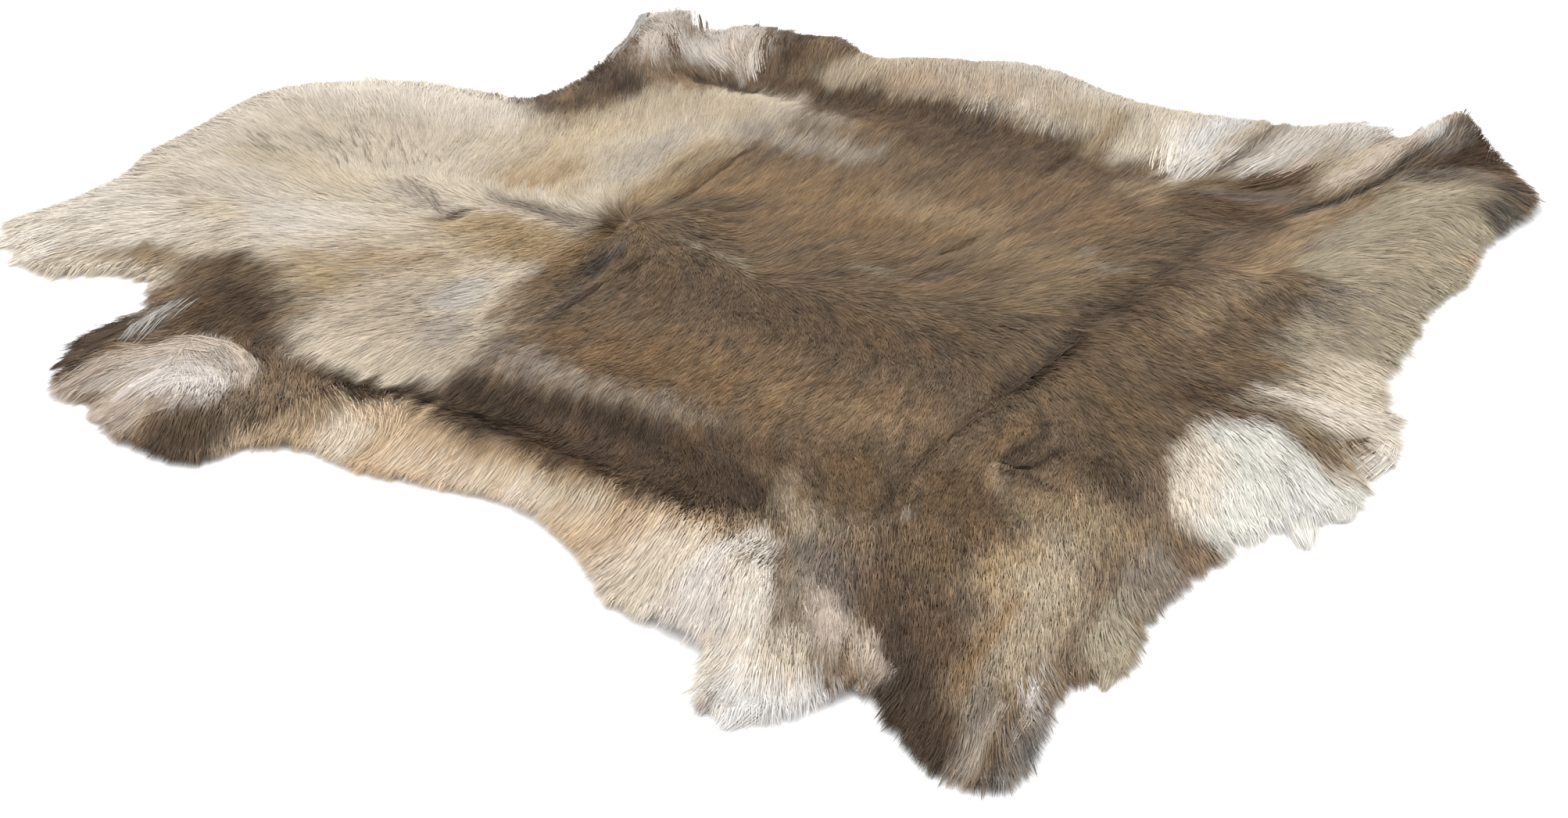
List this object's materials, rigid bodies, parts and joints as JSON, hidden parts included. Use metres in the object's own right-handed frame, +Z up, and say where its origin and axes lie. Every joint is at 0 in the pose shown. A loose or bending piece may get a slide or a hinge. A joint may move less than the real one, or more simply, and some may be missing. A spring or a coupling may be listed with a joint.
{
  "type": "reindeer hide",
  "caption": "Whole tanned reindeer hide laid flat fur side up, with neck, leg and tail lobes, rippled belly edges and folded thighs.",
  "frame": {"origin": "middle of the hide's footprint, on the surface it lies on", "axes": "+X from the neck cut to the tail, +Y towards the animal's right side, +Z up out of the fur"},
  "size_m": [1.245, 1.1898, 0.0427],
  "materials": {
    "fur": "lying reindeer hair, brown back with cream neck, white belly and dark legs",
    "skin": "tanned flesh side, pale and matt"
  },
  "bodies": {
    "root": {"hide": "fur"}
  },
  "joints": []
}
